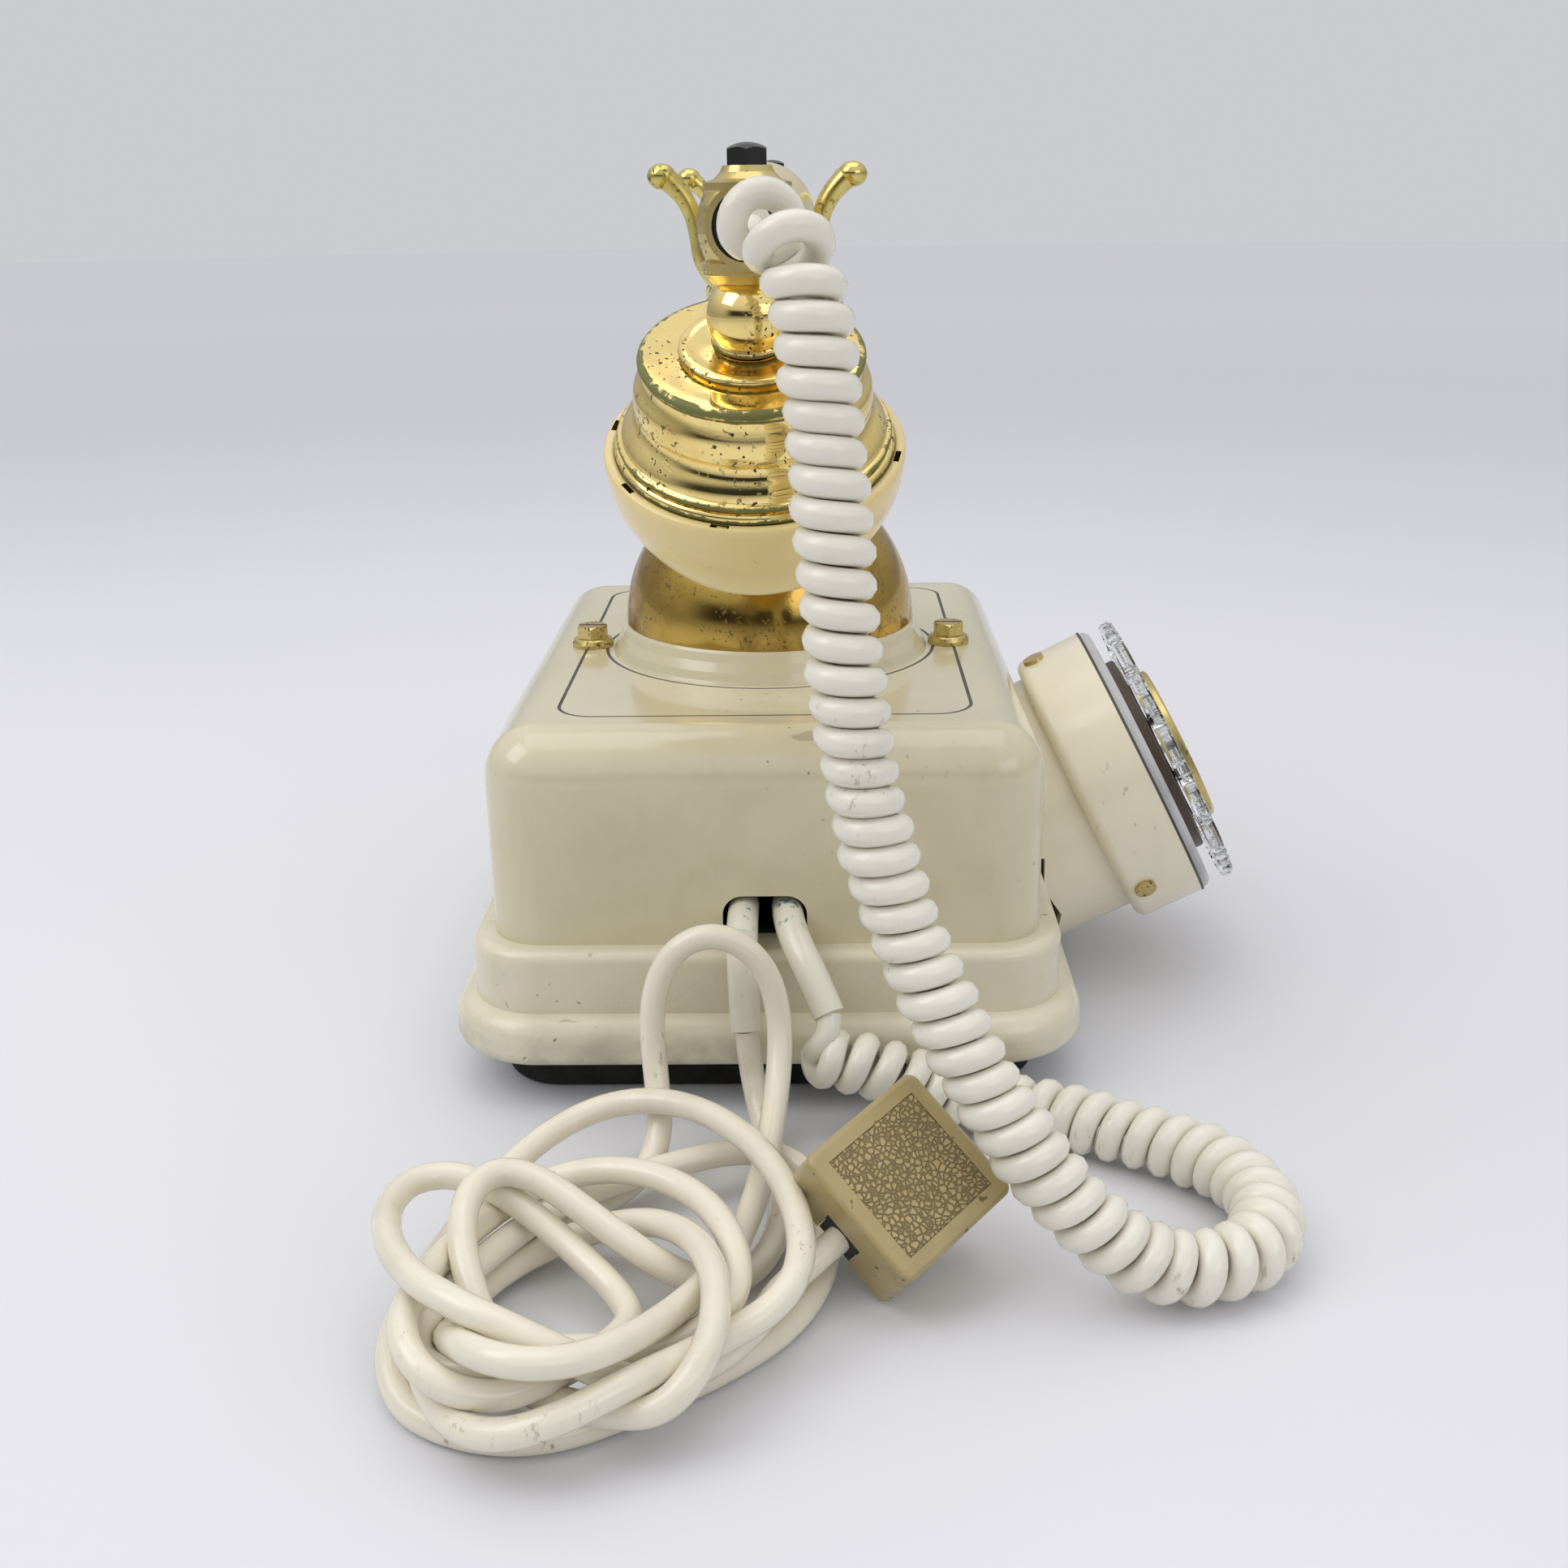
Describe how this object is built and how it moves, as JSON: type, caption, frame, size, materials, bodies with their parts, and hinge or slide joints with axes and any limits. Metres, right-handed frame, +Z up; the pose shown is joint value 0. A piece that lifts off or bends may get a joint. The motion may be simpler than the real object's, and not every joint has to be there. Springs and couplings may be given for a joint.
{
  "type": "rotary telephone",
  "caption": "Retro table telephone: ivory body on a flared plinth, brass bell dome and forked cradle, brass and ivory handset, tilted rotary dial, curly handset cord, line cord and plug.",
  "frame": {"origin": "middle of the base pad's underside, where the telephone rests", "axes": "+Z up, -Y towards the dial's front, +X along the handset from its mouthpiece to its earpiece"},
  "size_m": [0.3196, 0.1944, 0.2043],
  "materials": {
    "ivory_plastic": "glossy, slightly grubby",
    "aged_ivory": "glossy, yellowed with age",
    "brass": "polished, with verdigris at the edges",
    "cord_vinyl": "glossy vinyl with dark scuffs",
    "black_rubber": "matte",
    "black_plastic": "matte",
    "steel": "plain",
    "coil_winding": "copper winding",
    "board": "resin board",
    "grey_plate": "satin grey",
    "clear_acrylic": "clear, polished",
    "black_metal": "gloss black",
    "khaki_plastic": "satin with a leather-grain face"
  },
  "bodies": {
    "base": {"base_pad": "black_rubber", "base_plate": "steel", "base_screws": "steel", "plinth": "ivory_plastic", "housing": "ivory_plastic", "bell_seat": "ivory_plastic", "bell_dome": "brass", "cradle_column": "brass", "thumb_nuts": "brass", "housing_studs": "steel", "line_sleeve": "cord_vinyl", "handset_sleeve": "cord_vinyl", "circuit_board": "board", "board_standoffs": "steel", "hook_switch": "black_plastic", "hook_spring": "steel", "ringer_frame": "steel", "ringer_coils": "coil_winding", "gong_large": "steel", "gong_small": "steel", "volume_control": "black_plastic", "dial_bracket": "ivory_plastic", "dial_drum": "ivory_plastic", "drum_screws": "brass", "dial_frame": "steel", "number_ring": "grey_plate", "number_disc": "brass", "finger_stop": "brass", "dial_spring": "steel", "pulse_contacts": "steel", "handset_cord": "cord_vinyl", "line_cord_lead": "cord_vinyl", "line_cord_loop": "cord_vinyl", "line_cord_coil": "cord_vinyl", "line_cord_tail": "cord_vinyl", "plug_body": "khaki_plastic", "plug_base": "black_plastic"},
    "cradle": {"cradle_post": "brass", "cradle_bar": "brass", "cradle_fork_mouth": "brass", "cradle_fork_ear": "brass"},
    "dial": {"finger_wheel": "clear_acrylic", "centre_disc": "brass", "dial_shaft": "steel"},
    "governor": {"governor": "steel"},
    "clapper": {"clapper": "steel"},
    "volume": {"volume_wheel": "black_plastic"},
    "handset": {"handle_grip": "aged_ivory", "handle_tube": "steel", "mouth_fitting": "brass", "ear_fitting": "brass", "hex_caps": "black_metal", "cap_necks": "brass", "mouth_bell": "brass", "ear_bell": "brass", "mouth_cup": "aged_ivory", "ear_cup": "aged_ivory", "voice_capsules": "black_plastic", "cord_bush": "black_rubber", "cord_grommet": "cord_vinyl"}
  },
  "joints": [
    {"name": "handset_lift", "type": "slide", "parent": "base", "child": "handset", "axis": [0, 0, 1], "range_m": [0, 0.05], "deforming": ["handset_cord"]},
    {"name": "cradle_rise", "type": "slide", "parent": "base", "child": "cradle", "axis": [0, 0, 1], "range_m": [0, 0.005]},
    {"name": "dial_turn", "type": "hinge", "parent": "base", "child": "dial", "pos_m": [0, -0.0968, 0.0521], "axis": [0, 0.891, -0.454], "range_deg": [0, 325], "stiffness_Nm_per_rad": 0.003, "springref_deg": -68.75},
    {"name": "governor_spin", "type": "hinge", "parent": "base", "child": "governor", "pos_m": [0.02, -0.08782, 0.0565], "axis": [0, 0.891, -0.454], "range_deg": [-1100, 40]},
    {"name": "clapper_swing", "type": "hinge", "parent": "base", "child": "clapper", "pos_m": [0.026, -0.0005, 0.0515], "axis": [0, 0, 1], "range_deg": [-6, 5]},
    {"name": "volume_turn", "type": "hinge", "parent": "base", "child": "volume", "pos_m": [-0.025, 0.0536, 0.0485], "axis": [0, 0, 1], "range_deg": [-60, 60]}
  ],
  "couplings": [
    {"joint": "cradle_rise", "follows": "handset_lift", "ratio": 0.1},
    {"joint": "governor_spin", "follows": "dial_turn", "ratio": -3.0189}
  ]
}
